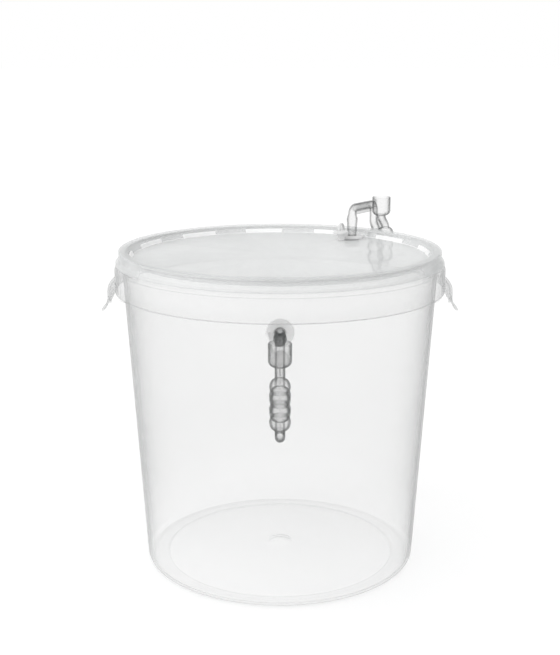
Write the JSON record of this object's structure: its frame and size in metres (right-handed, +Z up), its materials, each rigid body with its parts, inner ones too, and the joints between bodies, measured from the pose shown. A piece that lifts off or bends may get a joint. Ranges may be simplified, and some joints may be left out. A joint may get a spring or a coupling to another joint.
{
  "type": "fermentation bucket with airlock",
  "caption": "Tapered translucent bucket with a press-on lid, side grips, tethered grommet plugs, a bent airlock in the lid and a straight airlock in the wall.",
  "frame": {"origin": "middle of the footprint of the whole object, on the plane that the bucket stands on", "axes": "+Z up along the bucket's axis, -Y out of the wall hole at the front, +X to the right-hand grip"},
  "size_m": [0.4106, 0.4576, 0.4085],
  "materials": {
    "bucket_plastic": "natural translucent plastic, satin",
    "lid_plastic": "natural translucent plastic, satin",
    "seal_rubber": "soft pale rubber",
    "grommet_rubber": "soft pale grey rubber, matte",
    "airlock_clear": "clear moulded plastic, glossy"
  },
  "bodies": {
    "bucket": {"bucket": "bucket_plastic"},
    "lid": {"lid": "lid_plastic", "lid_seal": "seal_rubber"},
    "lid_grommet": {"lid_grommet": "grommet_rubber"},
    "lid_plug": {"lid_plug": "grommet_rubber"},
    "lid_airlock": {"lid_airlock_right_half": "airlock_clear", "lid_airlock_left_half": "airlock_clear"},
    "wall_grommet": {"wall_grommet": "grommet_rubber"},
    "wall_plug": {"wall_plug": "grommet_rubber"},
    "wall_airlock": {"wall_airlock_left_half": "airlock_clear", "wall_airlock_right_half": "airlock_clear"}
  },
  "joints": [
    {"name": "lid_lift", "type": "slide", "parent": "bucket", "child": "lid", "axis": [0, 0, 1], "range_m": [0, 0.087]},
    {"name": "lid_airlock_turn", "type": "hinge", "parent": "lid", "child": "lid_grommet", "pos_m": [0.09057, 0.15237, 0.364], "axis": [0, 0, 1], "range_deg": [-35, 35]},
    {"name": "lid_airlock_pull", "type": "slide", "parent": "lid_grommet", "child": "lid_airlock", "axis": [0, 0, 1], "range_m": [0, 0.06]},
    {"name": "lid_plug_swing", "type": "hinge", "parent": "lid_grommet", "child": "lid_plug", "pos_m": [0.08021, 0.1599, 0.3691], "axis": [-0.9868, 0.1622, 0], "range_deg": [0, 40]},
    {"name": "wall_airlock_turn", "type": "hinge", "parent": "bucket", "child": "wall_grommet", "pos_m": [0, -0.15084, 0.3162], "axis": [0, -0.9981, -0.0619], "range_deg": [-30, 30]},
    {"name": "wall_airlock_pull", "type": "slide", "parent": "wall_grommet", "child": "wall_airlock", "axis": [0, -0.9981, -0.0619], "range_m": [0, 0.06]},
    {"name": "wall_plug_swing", "type": "hinge", "parent": "wall_grommet", "child": "wall_plug", "pos_m": [-0.01281, -0.15593, 0.31588], "axis": [-0.8937, 0.0278, -0.4479], "range_deg": [0, 25]}
  ]
}
